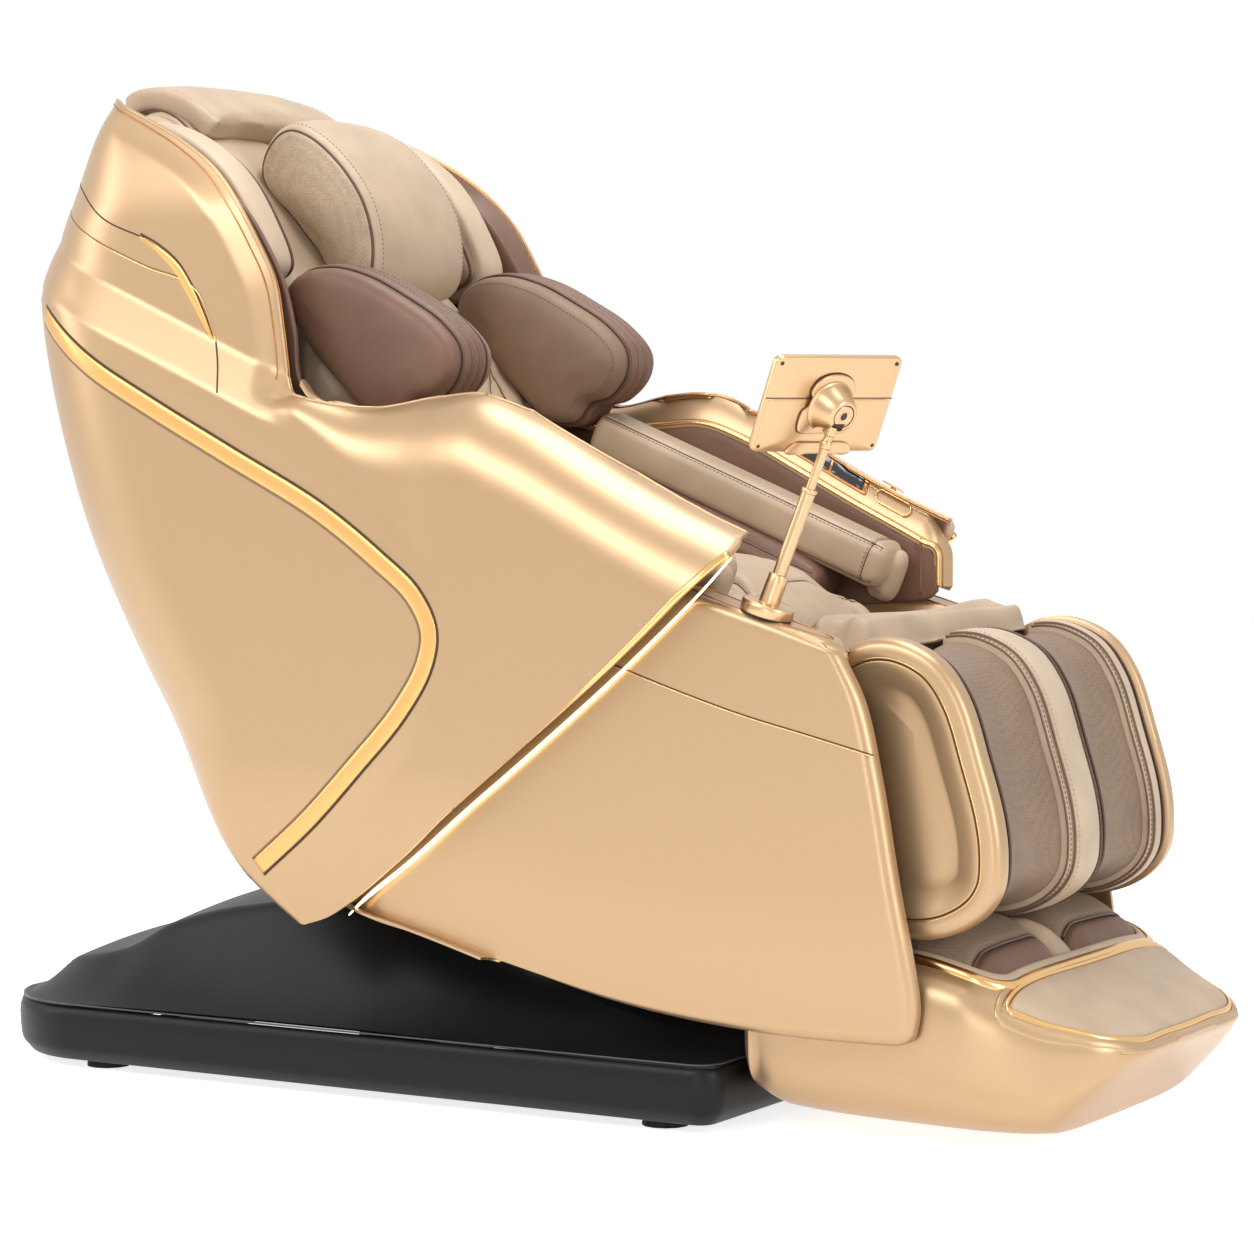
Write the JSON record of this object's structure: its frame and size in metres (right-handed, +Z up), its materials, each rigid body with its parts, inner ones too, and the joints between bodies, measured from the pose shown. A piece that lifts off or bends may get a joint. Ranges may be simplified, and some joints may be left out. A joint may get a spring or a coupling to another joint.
{
  "type": "massage chair",
  "caption": "Reclining massage chair with a capsule-shaped shell on a low base, padded back and arms, lifting legrest with foot wells, and a swivelling tablet on a pole.",
  "frame": {"origin": "on the floor, at the middle of the footprint", "axes": "+X the way the sitter faces, +Y the sitter's left, +Z up"},
  "size_m": [1.53, 0.7388, 1.2422],
  "materials": {
    "gold_shell": "champagne gold metallic lacquer, satin",
    "gold_metal": "champagne gold lacquered metal, satin",
    "accent": "polished gold trim",
    "black": "satin black moulding",
    "frame_steel": "grey painted steel",
    "rubber": "black rubber",
    "beige_leather": "beige grained leather over foam",
    "taupe_leather": "taupe perforated leather over foam",
    "brown_leather": "brown smooth leather over foam",
    "light": "translucent warm white light strip",
    "black_glass": "glossy black glass",
    "grey_plastic": "grey moulding"
  },
  "bodies": {
    "base": {"base_plinth": "black", "base_cover": "black", "base_frame": "frame_steel", "floor_pads_right": "rubber", "floor_pads_left": "rubber", "power_inlet": "grey_plastic"},
    "power_switch": {"power_switch": "rubber"},
    "seat": {"side_panel_right": "gold_shell", "side_panel_left": "gold_shell", "light_strip_right": "light", "light_strip_left": "light", "seat_frame": "frame_steel", "seat_cushion": "beige_leather", "tablet_socket": "gold_metal"},
    "back": {"side_shell_right": "gold_shell", "side_shell_left": "gold_shell", "accent_band_right": "accent", "accent_band_left": "accent", "rear_shell": "gold_shell", "back_frame": "frame_steel", "back_cushion": "beige_leather", "head_pillow": "beige_leather", "head_flap": "beige_leather", "shoulder_pad_right": "brown_leather", "shoulder_pad_left": "brown_leather", "head_side_pad_right": "taupe_leather", "head_side_pad_left": "taupe_leather", "arm_liner_right": "brown_leather", "arm_liner_left": "brown_leather", "arm_cushion_right": "beige_leather", "arm_cushion_left": "beige_leather", "arm_lower_pad_right": "brown_leather", "arm_lower_pad_left": "brown_leather", "arm_front_rim_right": "accent", "arm_front_rim_left": "accent", "key_strip_left": "black_glass"},
    "arm_button": {"arm_button_left": "accent"},
    "massage_carriage": {"massage_carriage": "frame_steel"},
    "kneading_arm_right": {"kneading_arm_right": "rubber"},
    "kneading_arm_left": {"kneading_arm_left": "rubber"},
    "calf": {"calf_plate_right": "gold_shell", "calf_plate_left": "gold_shell", "calf_cover": "beige_leather", "calf_pad_right": "taupe_leather", "calf_pad_left": "taupe_leather", "legrest_frame": "frame_steel", "knee_cover": "beige_leather"},
    "foot": {"foot_shell": "gold_shell", "foot_trim": "accent", "foot_top_panel": "beige_leather", "foot_well_pad_right": "taupe_leather", "foot_well_pad_left": "taupe_leather", "foot_slider": "frame_steel"},
    "actuator_tube": {"legrest_actuator_tube": "grey_plastic"},
    "actuator_rod": {"legrest_actuator_rod": "frame_steel"},
    "tablet_pole_outer": {"tablet_pole_outer": "gold_metal"},
    "tablet_pole_inner": {"tablet_pole_inner": "gold_metal"},
    "tablet": {"tablet_case": "gold_metal", "tablet_mount": "gold_metal", "tablet_screen": "black_glass"}
  },
  "joints": [
    {"name": "seat_tilt", "type": "hinge", "parent": "base", "child": "seat", "pos_m": [-0.235, 0, 0.292], "axis": [0, -1, 0], "range_deg": [0, 18]},
    {"name": "back_recline", "type": "hinge", "parent": "seat", "child": "back", "pos_m": [-0.17, 0, 0.365], "axis": [0, -1, 0], "range_deg": [0, 20]},
    {"name": "legrest_lift", "type": "hinge", "parent": "seat", "child": "calf", "pos_m": [0.435, 0, 0.5], "axis": [0, -1, 0], "range_deg": [0, 75]},
    {"name": "foot_extend", "type": "slide", "parent": "calf", "child": "foot", "axis": [0, 0, -1], "range_m": [0, 0.079]},
    {"name": "actuator_swing", "type": "hinge", "parent": "seat", "child": "actuator_tube", "pos_m": [0.045, 0, 0.372], "axis": [0, -1, 0], "range_deg": [0, 1.9]},
    {"name": "actuator_stroke", "type": "slide", "parent": "actuator_tube", "child": "actuator_rod", "axis": [0.9971, 0, 0.0767], "range_m": [0, 0.141]},
    {"name": "carriage_travel", "type": "slide", "parent": "back", "child": "massage_carriage", "axis": [-0.6388, 0, 0.7694], "range_m": [-0.16, 0.2]},
    {"name": "knead_right", "type": "hinge", "parent": "massage_carriage", "child": "kneading_arm_right", "pos_m": [-0.3012, -0.058, 0.7652], "axis": [0, 1, 0], "range_deg": [-4, 4]},
    {"name": "knead_left", "type": "hinge", "parent": "massage_carriage", "child": "kneading_arm_left", "pos_m": [-0.3012, 0.058, 0.7652], "axis": [0, 1, 0], "range_deg": [-4, 4]},
    {"name": "tablet_swivel", "type": "hinge", "parent": "seat", "child": "tablet_pole_outer", "pos_m": [0.36375, -0.293, 0.60568], "axis": [0.3229, 0.1036, 0.9407], "range_deg": [-80, 60]},
    {"name": "tablet_height", "type": "slide", "parent": "tablet_pole_outer", "child": "tablet_pole_inner", "axis": [0.3229, 0.1036, 0.9407], "range_m": [-0.04, 0.04]},
    {"name": "tablet_tilt", "type": "hinge", "parent": "tablet_pole_inner", "child": "tablet", "pos_m": [0.43995, -0.26854, 0.82769], "axis": [0.4003, 0.9164, 0], "range_deg": [-18, 18]},
    {"name": "button_press", "type": "slide", "parent": "back", "child": "arm_button", "axis": [0, 0, -1], "range_m": [0, 0.0015], "stiffness_N_per_m": 600},
    {"name": "switch_rock", "type": "hinge", "parent": "base", "child": "power_switch", "pos_m": [-0.748, -0.0643, 0.046], "axis": [0, -1, 0], "range_deg": [0, 19]}
  ],
  "couplings": [
    {"joint": "foot_extend", "follows": "legrest_lift", "m_per_rad": 0.06},
    {"joint": "actuator_swing", "follows": "legrest_lift", "ratio": 0.0237},
    {"joint": "actuator_stroke", "follows": "legrest_lift", "m_per_rad": 0.106},
    {"joint": "knead_left", "follows": "knead_right", "ratio": -1}
  ]
}
